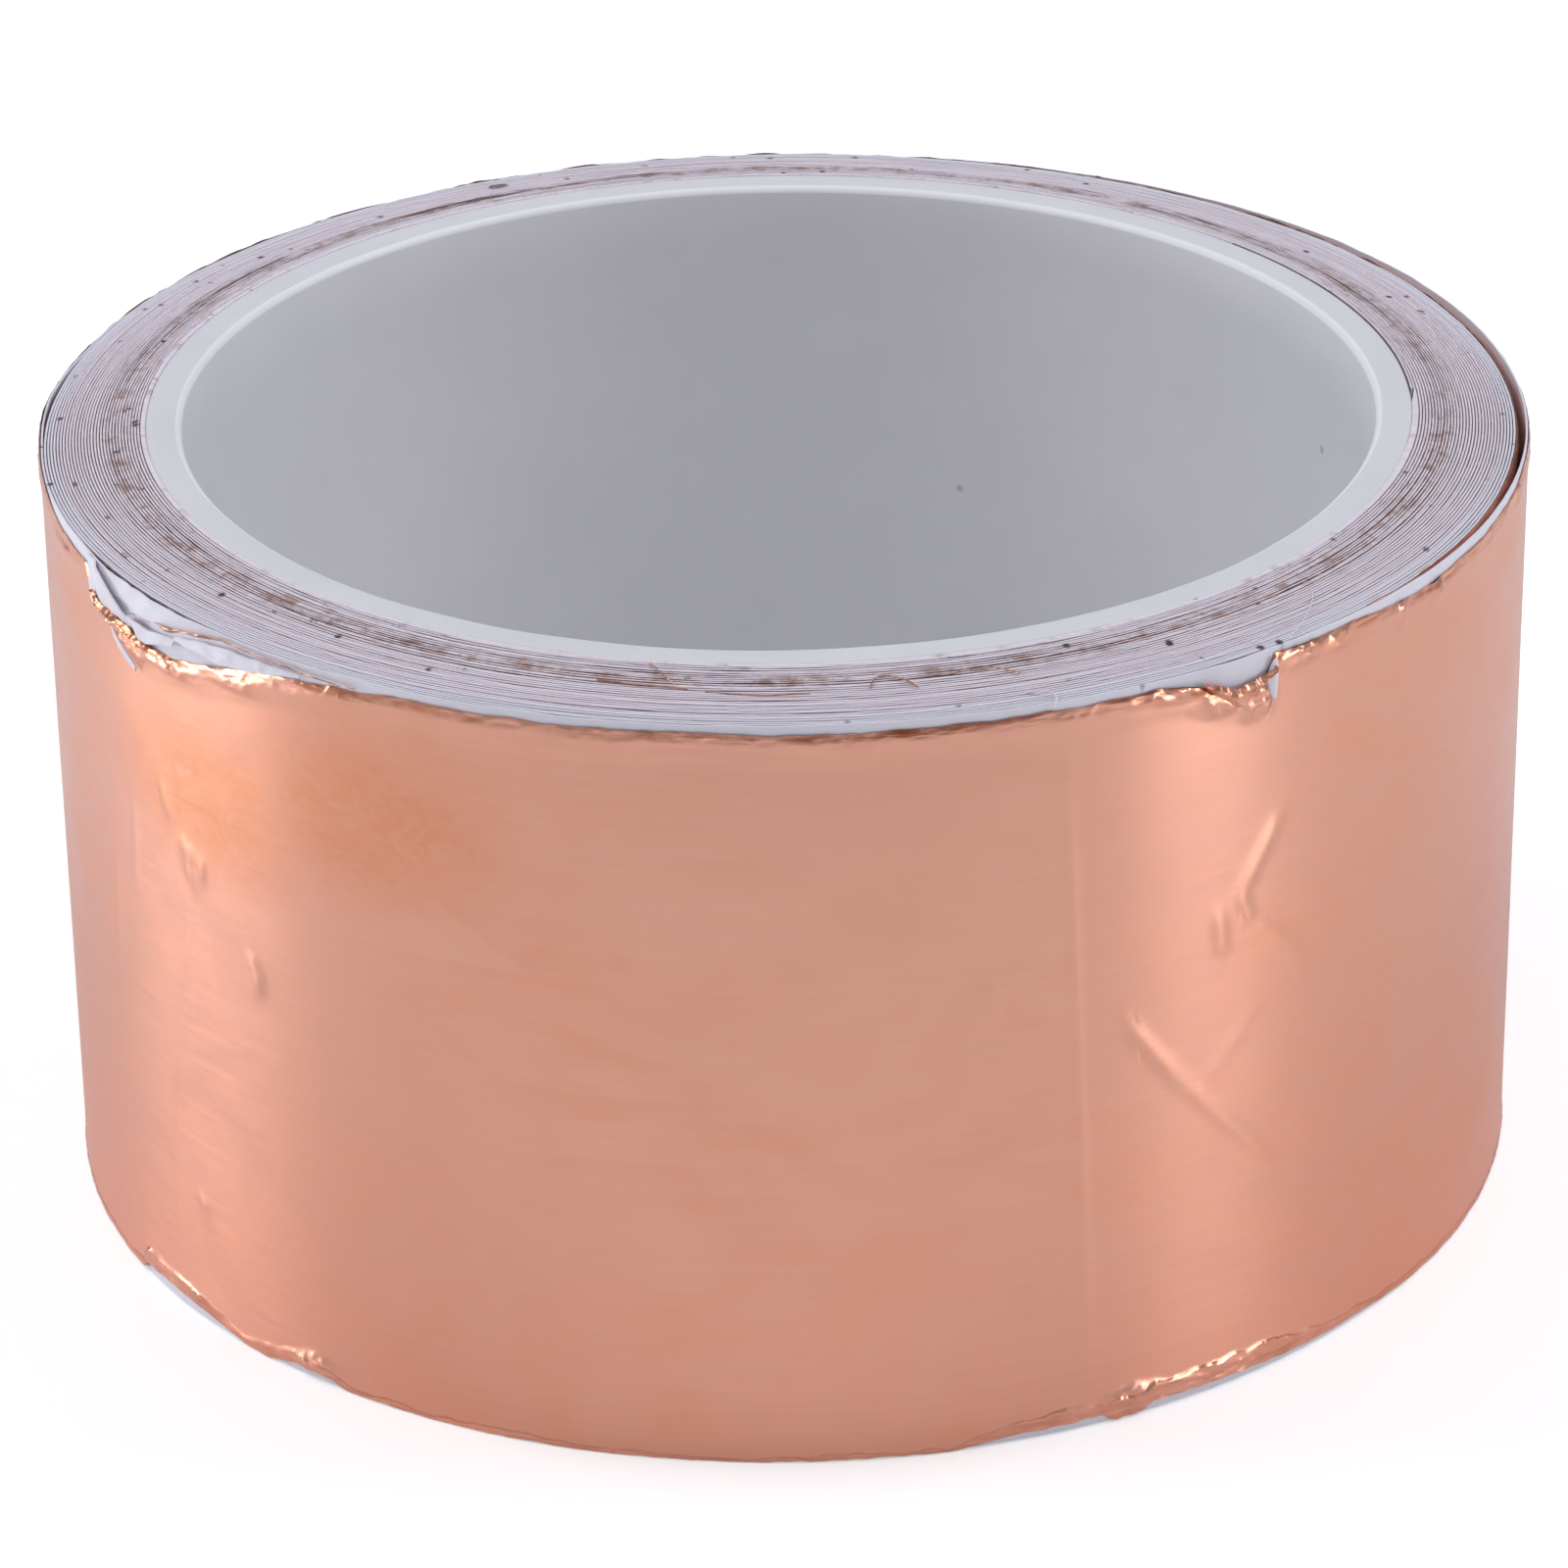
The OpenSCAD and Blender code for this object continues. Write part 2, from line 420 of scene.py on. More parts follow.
def closed_sheet(name, outer, inner, strip, material, keep=None, sharp=38, rim=None):
    """A thin solid from grids of points, columns along the strip and rows up it.
    keep lists the rows that the inner face has, which lies out of sight."""
    columns, rows = outer.shape[:2]
    keep = np.arange(rows) if keep is None else np.asarray(keep)
    inner = inner[:, keep]
    n = columns * rows
    front = np.arange(n).reshape(columns, rows)
    back = n + np.arange(columns * len(keep)).reshape(columns, len(keep))
    across = np.linspace(0, 1, columns)
    skin = Skin()
    skin.grid(front, across, np.linspace(0.16, 1, rows))
    skin.grid(back[:, ::-1], across, np.linspace(0.01, 0.11, len(keep)))
    skin.grid(np.stack([front[:, -1], back[:, -1]], 1), across, [0.12, 0.135])
    skin.grid(np.stack([back[:, 0], front[:, 0]], 1), across, [0.14, 0.155])
    for i in range(len(keep) - 1):
        edge = slice(keep[i], keep[i + 1] + 1)
        skin.face([*front[0, edge], back[0, i + 1], back[0, i]], *START_SPOT)
        skin.face([back[-1, i], back[-1, i + 1], *front[-1, edge][::-1]], *END_SPOT)
    points = np.concatenate([outer.reshape(-1, 3), inner.reshape(-1, 3)])
    ways = np.concatenate([strip.reshape(-1, 2), strip[:, keep].reshape(-1, 2)])
    if rim is not None:
        rim = np.concatenate([rim.reshape(-1, 2), rim[:, keep].reshape(-1, 2)])
    return skin.piece(name, points, ways, material, sharp, rim)


TOP_ZONE, FOOT_ZONE = 3.0 * MM, 2.8 * MM  # finely meshed zones along the strip's edges


def rows_between(low, high, top_step, mid_step, foot_step):
    """Heights of the rows of each column, and how many are in each edge's fine zone."""
    foot = np.arange(0, FOOT_ZONE - foot_step / 2, foot_step)
    top = np.arange(0, TOP_ZONE - top_step / 2, top_step)[::-1]
    count = int((TAPE - TOP_ZONE - FOOT_ZONE) / mid_step)
    share = np.linspace(0, 1, count + 1)
    a, b = (low + FOOT_ZONE)[:, None], (high - TOP_ZONE)[:, None]
    middle = a + (b - a) * share
    rows = np.concatenate([low[:, None] + foot, middle, high[:, None] - top], 1)
    return rows, len(foot), len(top)


def outer_piece(name, layer, start, end, column, steps, material, thin):
    """One layer of the last turn or the loose end, between two angles. column is the step
    between its columns in degrees, steps those between its rows, and its hidden inner face
    keeps one in thin of the middle rows."""
    columns = max(2, round((end - start) / column) + 1)
    angle = np.linspace(start, end, columns)
    low, high = edges_of(layer, angle)
    z, feet, tops = rows_between(low, high, *steps)
    wide = angle[:, None]
    inside, outside = LAYERS[layer]
    if layer == "liner":
        lift = paper_relief(wide, z)
    elif layer == "foil":
        lift = relief(wide, z, low[:, None], high[:, None])
    else:
        lift = np.zeros_like(z)
    faces = [np.stack([*on_outer(wide, offset + lift), z], -1) for offset in (outside, inside)]
    strip = np.stack(np.broadcast_arrays(along(wide), z), -1)
    last = z.shape[1] - 1
    keep = sorted({*range(0, feet, 2), *range(feet, last - tops, thin),
                   *range(last - tops, last, 2), last})
    rim = np.stack([high[:, None] - z, z - low[:, None] - band_height(wide)], -1)
    return closed_sheet(name, *faces, strip, material, keep, rim=rim)


RING_STEP = 1.5  # degrees between the cross-sections of the stuck turns
GROOVE_TURN = 15.4  # the turn beside which the roll has a dark groove in front


def winding_tops(layer, total):
    """Height of a layer's upper edge on the stuck turns above its lower edge."""
    way = np.radians(total) * OUTER_R
    turn = total / 360
    paper = 0.035 * noise1(turn, 0.9, 101) + 0.022 * noise1(way, 9 * MM, 102)
    paper = TAPE + (paper + 0.018 * noise1(way, 1.7 * MM, 103)) * MM
    if layer == "liner":
        return paper
    rubbed = bump(turn, 9, 8) * (0.5 + 0.5 * noise1(way, 5 * MM, 104))
    sunk = 0.09 - 0.10 * rubbed + 0.05 * ease((turn - 24) / 5)
    angle = total % 360
    groove = bump(turn, GROOVE_TURN, 0.62) * bump(angle, 268, 62)
    ragged = 0.03 * noise1(way, 1.1 * MM, 105 if layer == "foil" else 106)
    return paper - (sunk + ragged + 0.5 * groove) * MM


def core_gap(total):
    """The gap between the core and the first turn past the starter strip, which the turn's
    paper fills so that no slot shows."""
    gap = np.hypot(*on_spiral(total, 0.0)) - CORE_R - 0.01 * MM
    return np.clip(gap, 0, 0.3 * MM) * ease((total - 42) / 3) * ease((360 - total) / 3)


def ring_path(layer, total):
    """Corners of a stuck layer's cross-section, as offset and height, and where the sides
    between them lie across its stretch of the bake map."""
    foot = foot_of(total) + 0.02 * MM
    top = foot + winding_tops(layer, total)
    inside, outside = LAYERS[layer]
    if layer != "liner":
        path = [(outside, foot), (outside, top), (inside, top), (inside, foot)]
        return path, [0, 0.15, 0.75, 0.9, 0.97]
    inside = inside - core_gap(total)
    chamfer = 0.03 * MM
    path = [(outside, foot), (outside, top - chamfer), (outside - 2 * chamfer, top),
            (inside + chamfer, top), (inside, top - chamfer), (inside, foot)]
    return path, [0, 0.1, 0.25, 0.6, 0.75, 0.85, 0.97]


def stuck_turns(name, layer, material):
    """One layer of all the turns but the last."""
    end = LAST_FROM + 360.0 * WHOLE_TURNS
    rings = round(end / RING_STEP) + 1
    total = np.linspace(0, end, rings)
    path, v = ring_path(layer, total)
    points = np.stack([np.stack([*on_spiral(total, o), z], -1) for o, z in path], 1)
    way = np.radians(total) * OUTER_R
    strip = np.stack([np.stack([way, z], -1) for o, z in path], 1)
    index = np.arange(rings * len(path)).reshape(rings, -1)
    index = np.pad(index, ((0, 0), (0, 1)), mode="wrap")
    skin = Skin()
    per_turn = round(360 / RING_STEP)
    turns = -(-(rings - 1) // per_turn)
    for i in range(turns):
        part = index[i * per_turn:(i + 1) * per_turn + 1]
        across = np.arange(len(part)) / per_turn
        skin.grid(part, across, (i + np.array(v)) / turns)
    skin.face(index[0, :-1], (0.0, 0.998), (0.004, 1.0))
    skin.face(index[-1, :-1][::-1], (0.01, 0.998), (0.014, 1.0))
    return skin.piece(name, points, strip, material, 30)


def core_profile():
    """Radius and height of the tube's outline, from its outside over the top into the bore."""
    bevel, soft = 0.35 * MM, 0.12 * MM
    low, high = CORE_LOW.z, CORE_TOP
    return [
        (CORE_R, low + soft), (CORE_R, low + 4 * MM), (CORE_R, high / 2), (CORE_R, high - 4 * MM),
        (CORE_R, high - soft), (CORE_R - 0.3 * soft, high - 0.3 * soft), (CORE_R - soft, high),
        (CORE_R - 0.7 * MM, high), (CORE_R - 1.3 * MM, high), (BORE_R + bevel + soft, high),
        (BORE_R + bevel, high - 0.2 * soft), (BORE_R + bevel * 0.45, high - bevel * 0.45),
        (BORE_R + 0.02 * MM, high - bevel), (BORE_R, high - bevel - soft),
        (BORE_R, high - 4 * MM), (BORE_R, high / 2), (BORE_R, low + 4 * MM),
        (BORE_R, low + bevel + soft), (BORE_R + 0.02 * MM, low + bevel),
        (BORE_R + bevel, low + 0.2 * soft), (BORE_R + bevel + soft, low),
        (CORE_R - soft, low), (CORE_R - 0.3 * soft, low + 0.3 * soft),
    ]


def make_core(material):
    """The plastic tube: soft bevels inside, a cut face with small chatter, a plain wall."""
    steps = 360
    turn = np.linspace(0, 2 * np.pi, steps, endpoint=False)[:, None]
    r, z = (np.array(column) for column in zip(*core_profile()))
    on_top = ease((z - CORE_TOP + 1.0 * MM) / MM)
    wobble = noise1(np.degrees(turn), 7, 121) - 0.6 * bump(np.degrees(turn), 282, 5)
    chatter = 0.025 * MM * on_top * (wobble - 1) * bump(r, BORE_R + 0.3 * MM, 1.5 * MM)
    height = z + chatter
    points = np.stack([r * np.cos(turn), r * np.sin(turn), height], -1)
    strip = np.stack(np.broadcast_arrays(turn * CORE_R, height), -1)
    length = np.hypot(np.diff(r, append=r[0]), np.diff(z, append=z[0])) + 1.5 * MM
    v = np.concatenate([[0], np.cumsum(length)]) / length.sum()
    index = np.pad(np.arange(steps * len(r)).reshape(steps, -1), ((0, 1), (0, 1)), mode="wrap")
    skin = Skin()
    skin.grid(index, np.linspace(0, 1, steps + 1), v)
    return skin.piece("core_tube", points, strip, material, 50)


def make_starter(material):
    """The thin double-sided strip in the wedge between the core and the first turn."""
    low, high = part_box("starter_strip")
    inner_angle = np.linspace(0, math.degrees(math.atan2(high.y, low.x)), 61)
    z = np.linspace(low.z, high.z, 3)[None, :]
    wide = np.radians(inner_angle)[:, None]
    thick = 0.005 * MM
    x, y = on_spiral(inner_angle[:, None], -thick)
    outer = np.stack(np.broadcast_arrays(x, y, z), -1)
    r = CORE_R + thick
    inner = np.stack(np.broadcast_arrays(r * np.cos(wide), r * np.sin(wide), z), -1)
    strip = np.stack(np.broadcast_arrays(wide * r, z), -1)
    return closed_sheet("starter_tape", outer, inner, strip, material)


def make_flap(name, start, end, height, seed, material):
    """A torn tongue that hangs down over the copper from its edge."""
    columns, rows = 70, 16
    angle = np.linspace(start, end, columns)[:, None]
    share = np.linspace(0, 1, rows)[None, :]
    wedge = np.sin(np.pi * np.linspace(0.02, 0.98, columns)) ** 0.6
    ragged = 1 + 0.3 * noise1(along(angle), 1.0 * MM, seed)
    top = (edges_of("foil", angle[:, 0])[1] + 0.35 * MM)[:, None]
    drop = height * MM * wedge[:, None] * ragged
    z = top - drop * (1 - share)
    way = along(angle)
    crush = folds(way, z, 0.9 * MM, seed + 1)
    curl = 0.30 * np.sin(np.pi * np.clip(1.05 - share, 0, 1))
    out = PITCH + (curl + 0.16 + 0.35 * crush) * MM
    faces = [np.stack([*on_outer(angle, offset), z], -1) for offset in (out + FOIL_T, out)]
    strip = np.stack(np.broadcast_arrays(way, z), -1)
    rim = np.stack([top - z, z], -1)
    return closed_sheet(name, *faces, strip, material, sharp=30, rim=rim)


def make_ribbon(name, knots, thick, material, seed):
    """A narrow scrap of foil or paper on the outside, through knots given as angle, lower and
    upper height in mm, and how far its lower and upper edges stand off the strip in mm."""
    at, *columns = zip(*knots)
    angle = np.linspace(at[0], at[-1], max(8, round((at[-1] - at[0]) / 0.2)))
    low, high, stand_low, stand_high = (np.interp(angle, at, c)[:, None] for c in columns)
    share = np.linspace(0, 1, 8)[None, :]
    wide = angle[:, None]
    way = along(wide)
    z = (low + (high - low) * share) * MM + 0.06 * MM * noise1(way, 0.8 * MM, seed)
    crush = 0.12 * folds(way, z, 0.9 * MM, seed + 1) * np.sin(np.pi * share)
    out = PITCH + (stand_low + (stand_high - stand_low) * share + crush) * MM
    faces = [np.stack([*on_outer(wide, offset), z], -1) for offset in (out + thick, out)]
    strip = np.stack(np.broadcast_arrays(way, z), -1)
    rim = np.full(strip.shape, 5 * MM)
    return closed_sheet(name, *faces, strip, material, sharp=30, rim=rim)


SPECK_SIDES = 18


def make_speck(name, angle, r, long, wide, material):
    """A crumb or stain on the winding's face: a low cone r mm from the axis."""
    share = (r - CORE_R / MM) / ((OUTER_R - CORE_R) / MM)
    foot = TAPE + SLIDE * (1 - share) + 0.01 * MM
    turn = np.linspace(0, 2 * np.pi, SPECK_SIDES, endpoint=False)
    uneven = 1 + 0.22 * noise1(turn * 3 + r, 1.0, 301)
    a, d = math.radians(angle), np.array([long, wide]) * MM
    u, v = d[0] * np.cos(turn) * uneven, d[1] * np.sin(turn) * uneven
    x = r * MM * math.cos(a) - u * math.sin(a) + v * math.cos(a)
    y = r * MM * math.sin(a) + u * math.cos(a) + v * math.sin(a)
    ring = np.stack([x, y, np.full(SPECK_SIDES, foot)], -1)
    top = [[r * MM * math.cos(a), r * MM * math.sin(a), foot + 0.06 * MM]]
    skin = Skin()
    for i in range(SPECK_SIDES):
        low = (0.05 * i, 0.0)
        skin.face([i, (i + 1) % SPECK_SIDES, SPECK_SIDES], low, (low[0] + 0.04, 0.3))
    skin.face(list(range(SPECK_SIDES))[::-1], (0.0, 0.5), (0.4, 0.9))
    points = np.concatenate([ring, top])
    return skin.piece(name, points, points[:, :2], material, 60)


def make_thread(name, knots, radius, material):
    """A hair or sliver through points given as angle, distance from the axis and height in mm."""
    data = bpy.data.curves.new(name, "CURVE")
    data.dimensions = "3D"
    data.bevel_depth = radius * MM
    data.bevel_resolution = 1
    data.use_fill_caps = True
    line = data.splines.new("BEZIER")
    line.bezier_points.add(len(knots) - 1)
    for point, (angle, r, z) in zip(line.bezier_points, knots):
        a = math.radians(angle)
        point.co = (r * MM * math.cos(a), r * MM * math.sin(a), z * MM)
        point.handle_left_type = point.handle_right_type = "AUTO"
    data.resolution_u = 6
    data.materials.append(material)
    return add_object(name, data)


# -------- materials


class Nodes:
    """Short ways to add nodes to a material or a world."""

    def __init__(self, owner, last):
        owner.use_nodes = True
        self.tree = owner.node_tree
        self.out = next(n for n in self.tree.nodes if n.type == last)

    def node(self, kind, inputs=(), **settings):
        made = self.tree.nodes.new("ShaderNode" + kind)
        for key, value in settings.items():
            setattr(made, key, value)
        self.feed(made, dict(inputs))
        return made

    def feed(self, node, inputs):
        for key, value in inputs.items():
            if isinstance(value, bpy.types.NodeSocket):
                self.tree.links.new(value, node.inputs[key])
            else:
                node.inputs[key].default_value = value

    def spread(self, value, low, high, to_low=0.0, to_high=1.0):
        made = self.node("MapRange", {"Value": value, "From Min": low, "From Max": high,
                                      "To Min": to_low, "To Max": to_high})
        return made.outputs["Result"]

    def mix(self, share, a, b):
        made = self.node("Mix", data_type="RGBA")
        self.feed(made, {0: share, 6: a, 7: b})
        return made.outputs[2]


class Shader(Nodes):
    """A material, with its noises, sums and places."""

    def __init__(self, name):
        self.material = bpy.data.materials.new(name)
        super().__init__(self.material, "BSDF_PRINCIPLED")

    def place(self, scale, source="strip"):
        """Coordinates: the strip's own, in metres, or the object's, times scale."""
        if source == "strip":
            start = self.node("UVMap", uv_map="strip").outputs["UV"]
        else:
            start = self.node("TexCoord").outputs["Object"]
        return self.node("Mapping", {"Vector": start, "Scale": scale}).outputs["Vector"]

    def noise(self, at, detail=2.0, rough=0.5, bent=0.0):
        made = self.node("TexNoise", {"Vector": at, "Scale": 1.0, "Detail": detail,
                                      "Roughness": rough, "Distortion": bent})
        return made.outputs["Fac"]

    def compute(self, operation, a, b=0.0):
        return self.node("Math", {0: a, 1: b}, operation=operation).outputs[0]

    def plus(self, a, b):
        return self.compute("ADD", a, b)

    def times(self, a, b):
        return self.compute("MULTIPLY", a, b)

    def larger(self, a, b):
        return self.compute("MAXIMUM", a, b)

    def mix_number(self, share, a, b):
        made = self.node("Mix", data_type="FLOAT")
        self.feed(made, {0: share, 2: a, 3: b})
        return made.outputs[0]

    def near(self, angle, height, wide, tall):
        """1 at a spot on the outside, falling to 0 at its half width and half height in mm."""
        start = self.node("UVMap", uv_map="strip").outputs["UV"]
        scale = (1 / (wide * MM), 1 / (tall * MM), 1)
        moved = (-float(along(angle)) * scale[0], -height * MM * scale[1], 0)
        at = self.node("Mapping", {"Vector": start, "Scale": scale, "Location": moved})
        far = self.node("VectorMath", {0: at.outputs["Vector"]}, operation="LENGTH")
        return self.spread(far.outputs["Value"], 1.0, 0.35)

    def rim_wear_and_painted_shade(self):
        """Where the foil is crushed along both its edges, and the dark streaks there: partly grime,
        partly a painted reflection of dark surroundings in the crumpled rim, plus a painted shadow
        line along the top of the folded band.
        """
        edge = self.node("SeparateXYZ", {0: self.node("UVMap", uv_map="rim").outputs["UV"]})
        uneven = self.spread(self.noise(self.place((260, 90, 1)), 3.0, 0.6), 0.3, 0.7, 0.15, 1.0)
        top = self.spread(edge.outputs[0], 0.75 * MM, 0.35 * MM)
        above = edge.outputs[1]
        foot = self.spread(above, 0.05 * MM, -0.10 * MM)
        worn = self.times(self.larger(top, foot), uneven)
        fine = self.noise(self.place((420, 4200, 1)), 3.0, 0.65)
        long = self.noise(self.place((110, 1500, 1)), 2.0, 0.5)
        # streaks: partly grime, partly painted reflection of dark surroundings in the crumpled rim
        grime_and_painted_shade_streak = self.spread(self.plus(fine, long), 0.92, 1.10)
        # painted shadow: a thin dark line along the top edge of the folded band
        painted_fold_shadow = self.spread(self.compute("ABSOLUTE", above), 0.13 * MM, 0.05 * MM)
        dark = self.times(grime_and_painted_shade_streak, self.spread(foot, 0.0, 1.0, 1.0, 0.45))
        return worn, self.larger(dark, painted_fold_shadow)

    def bumps(self, height, distance, strength=1.0):
        made = self.node("Bump", {"Height": height, "Distance": distance, "Strength": strength})
        self.feed(self.out, {"Normal": made.outputs["Normal"]})

    def finish(self, **values):
        self.feed(self.out, {key.replace("_", " "): value for key, value in values.items()})
        return self.material


def rgb(r, g, b):
    return (r, g, b, 1.0)


def copper_material():
    """Rolled foil: fine grain along the strip, faint smudges and handling marks, and dark streaks on
    the rims that are partly grime and partly painted shade.
    """
    s = Shader("copper_foil")
    grain = s.noise(s.place((160, 9000, 1)), 2.0, 0.6)
    lines = s.noise(s.place((30, 2600, 1)), 1.0)
    smudge = s.noise(s.place((75, 110, 1)), 4.0, 0.62, 1.6)
    wide = s.noise(s.place((22, 35, 1)), 2.0)
    stain = s.spread(s.times(smudge, wide), 0.22, 0.42)
    colour = s.mix(stain, rgb(0.930, 0.458, 0.325), rgb(0.950, 0.435, 0.275))
    colour = s.mix(s.spread(lines, 0.35, 0.75, 0.0, 0.25), colour, rgb(0.96, 0.53, 0.41))
    rough = s.plus(s.spread(smudge, 0.3, 0.7, 0.30, 0.36), s.spread(grain, 0.3, 0.7, -0.03, 0.03))
    touch = s.noise(s.place((230, 330, 1)), 5.0, 0.65, 3.5)
    patch = s.larger(s.near(222, 38.5, 12, 7), s.near(238, 41.0, 12, 7.5))
    colour = s.mix(s.times(patch, s.spread(touch, 0.25, 0.6, 0.35, 0.95)), colour,
                   rgb(0.90, 0.375, 0.205))
    worn, grime_and_painted_shade_streak = s.rim_wear_and_painted_shade()
    # dark red-brown on the rims: partly grime, partly painted reflection, with the band's painted
    # shadow line
    colour = s.mix(s.times(worn, grime_and_painted_shade_streak), colour, rgb(0.42, 0.13, 0.055))
    s.bumps(s.plus(grain, lines), 2.2e-6)
    rolled = s.node("Tangent", direction_type="UV_MAP", uv_map="strip")
    return s.finish(Base_Color=colour, Roughness=s.mix_number(worn, rough, 0.17), Metallic=1.0,
                    Anisotropic=0.75, Anisotropic_Rotation=0.25, Tangent=rolled.outputs[0])


def cut_copper_material():
    """Foil in the stuck turns, of which only the cut edge shows: duller and browner."""
    s = Shader("copper_edge")
    spots = s.noise(s.place((900, 900, 1)), 2.0)
    age = s.noise(s.place((70, 70, 1)), 3.0)
    colour = s.mix(s.spread(age, 0.35, 0.65), rgb(0.30, 0.16, 0.13), rgb(0.18, 0.10, 0.09))
    colour = s.mix(s.spread(spots, 0.55, 0.75), colour, rgb(0.85, 0.45, 0.33))
    rough = s.spread(spots, 0.3, 0.7, 0.35, 0.55)
    return s.finish(Base_Color=colour, Roughness=rough, Metallic=0.7)


def scrap_material():
    """Slivers cut off the foil's edge: brown copper, with lighter patches that are painted highlights
    for glinting facets.
    """
    s = Shader("copper_scrap")
    spots = s.noise(s.place((900, 900, 900), "object"), 3.0, 0.6)
    # lighter patches: painted highlights standing for glinting facets on brown copper
    colour = s.mix(s.spread(spots, 0.4, 0.62), rgb(0.40, 0.19, 0.13), rgb(0.80, 0.46, 0.33))
    rough = s.spread(spots, 0.3, 0.7, 0.25, 0.45)
    return s.finish(Base_Color=colour, Roughness=rough, Metallic=0.6)


def dirt_material():
    """Dark brown crumbs and stains on the winding's face."""
    s = Shader("dark_crumb")
    spots = s.noise(s.place((1500, 1500, 1500), "object"), 2.0, 0.6)
    colour = s.mix(s.spread(spots, 0.35, 0.65), rgb(0.16, 0.11, 0.115), rgb(0.34, 0.25, 0.25))
    return s.finish(Base_Color=colour, Roughness=s.spread(spots, 0.3, 0.7, 0.5, 0.8))


def adhesive_material():
    """Clear acrylic film, slightly warm, seen as a thin line or a smear."""
    s = Shader("adhesive_film")
    cloud = s.noise(s.place((400, 400, 1)), 3.0)
    colour = s.mix(s.spread(cloud, 0.3, 0.7), rgb(0.20, 0.14, 0.13), rgb(0.12, 0.09, 0.09))
    rough = s.spread(cloud, 0.3, 0.7, 0.25, 0.45)
    s.bumps(cloud, 6e-6)
    return s.finish(Base_Color=colour, Roughness=rough)


def paper_material():
    """White release paper: faint fibres on the face, brown rub marks and specks on its edge.
    turns runs from 0 at the core to 1 at the last turn's end, and the brown marks with it."""
    s = Shader("liner_paper")
    fibres = s.noise(s.place((1500, 5000, 1)), 3.0, 0.7)
    dashes = s.noise(s.place((420, 1, 1)), 3.0, 0.7)
    patches = s.noise(s.place((150, 150, 150), "object"), 3.0, 0.6)
    specks = s.node("TexVoronoi", {"Vector": s.place((430, 430, 60), "object"), "Scale": 1.0})
    hits = s.noise(s.place((300, 300, 60), "object"), 1.0)
    turns = s.spread(s.node("SeparateXYZ", {0: s.place((1, 1, 1))}).outputs[0],
                     0.0, float(along(ROOT)))
    near_core = s.spread(turns, 0.10, 0.62, 1.0, 0.0)
    brown = s.times(s.spread(dashes, 0.52, 0.70), near_core)
    brown = s.times(brown, s.spread(patches, 0.40, 0.62, 0.15, 1.0))
    colour = s.mix(s.spread(fibres, 0.3, 0.7), rgb(0.84, 0.76, 0.83), rgb(0.91, 0.83, 0.89))
    colour = s.mix(s.spread(turns, 0.80, 0.94, 0.0, 0.7), colour, rgb(0.84, 0.84, 0.91))
    colour = s.mix(brown, colour, rgb(0.40, 0.25, 0.24))
    blots = s.noise(s.place((620, 620, 200), "object"), 3.0, 0.7)
    from_band = s.compute("ABSOLUTE", s.compute("SUBTRACT", turns, 0.28))
    band = s.spread(from_band, 0.17, 0.03)
    colour = s.mix(s.times(s.spread(blots, 0.48, 0.66), band), colour, rgb(0.47, 0.29, 0.23))
    spot = s.times(s.spread(specks.outputs["Distance"], 0.14, 0.07), s.spread(hits, 0.44, 0.50))
    height = s.node("SeparateXYZ", {0: s.node("TexCoord").outputs["Object"]}).outputs["Z"]
    spot = s.times(spot, s.spread(height, TAPE - 0.6 * MM, TAPE - 0.3 * MM))
    colour = s.mix(spot, colour, rgb(0.10, 0.06, 0.06))
    rough = s.spread(fibres, 0.3, 0.7, 0.5, 0.65)
    s.bumps(fibres, 4e-6)
    return s.finish(Base_Color=colour, Roughness=rough)


def core_material():
    """Satin white plastic tube with a little mottling, dust and shallow scuffs, and a painted
    highlight as a near-white line on the bore's upper bevel.
    """
    s = Shader("core_plastic")
    mottle = s.noise(s.place((120, 120, 120), "object"), 4.0, 0.6)
    turned = s.noise(s.place((40, 1800, 1)), 2.0)
    dust = s.node("TexVoronoi", {"Vector": s.place((150, 150, 150), "object"), "Scale": 1.0})
    hits = s.noise(s.place((60, 60, 60), "object"), 1.0)
    colour = s.mix(s.spread(mottle, 0.3, 0.7), rgb(0.80, 0.79, 0.80), rgb(0.83, 0.82, 0.83))
    spot = s.times(s.spread(dust.outputs["Distance"], 0.055, 0.035), s.spread(hits, 0.56, 0.60))
    colour = s.mix(spot, colour, rgb(0.30, 0.31, 0.33))
    there = s.node("SeparateXYZ", {0: s.place((1, 1, 1), "object")})
    flat = s.node("CombineXYZ", {0: there.outputs[0], 1: there.outputs[1]}).outputs[0]
    far = s.node("VectorMath", {0: flat}, operation="LENGTH").outputs["Value"]
    # painted highlight: a near-white line on the bevel at the bore's upper edge
    bevel = s.times(s.spread(far, BORE_R + 0.42 * MM, BORE_R + 0.36 * MM),
                    s.spread(there.outputs[2], CORE_TOP - 0.5 * MM, CORE_TOP - 0.42 * MM))
    colour = s.mix(bevel, colour, rgb(0.98, 0.98, 0.99))
    rough = s.spread(mottle, 0.3, 0.7, 0.38, 0.50)
    s.bumps(s.plus(mottle, turned), 5e-6)
    return s.finish(Base_Color=colour, Roughness=rough)


FLOOR_GLOW = 0.42  # seen by the camera only


def floor_material():
    """A pale sweep with a little glow, so that it photographs white."""
    s = Shader("pale_floor")
    cloud = s.noise(s.place((6, 6, 6), "object"), 2.0)
    colour = s.mix(s.spread(cloud, 0.3, 0.7), rgb(0.93, 0.93, 0.94), rgb(0.95, 0.95, 0.955))
    seen = s.node("LightPath").outputs["Is Camera Ray"]
    glow = s.times(seen, FLOOR_GLOW)
    return s.finish(Base_Color=colour, Roughness=0.8, Emission_Strength=glow,
                    Emission_Color=rgb(1, 1, 1))


# -------- the pieces


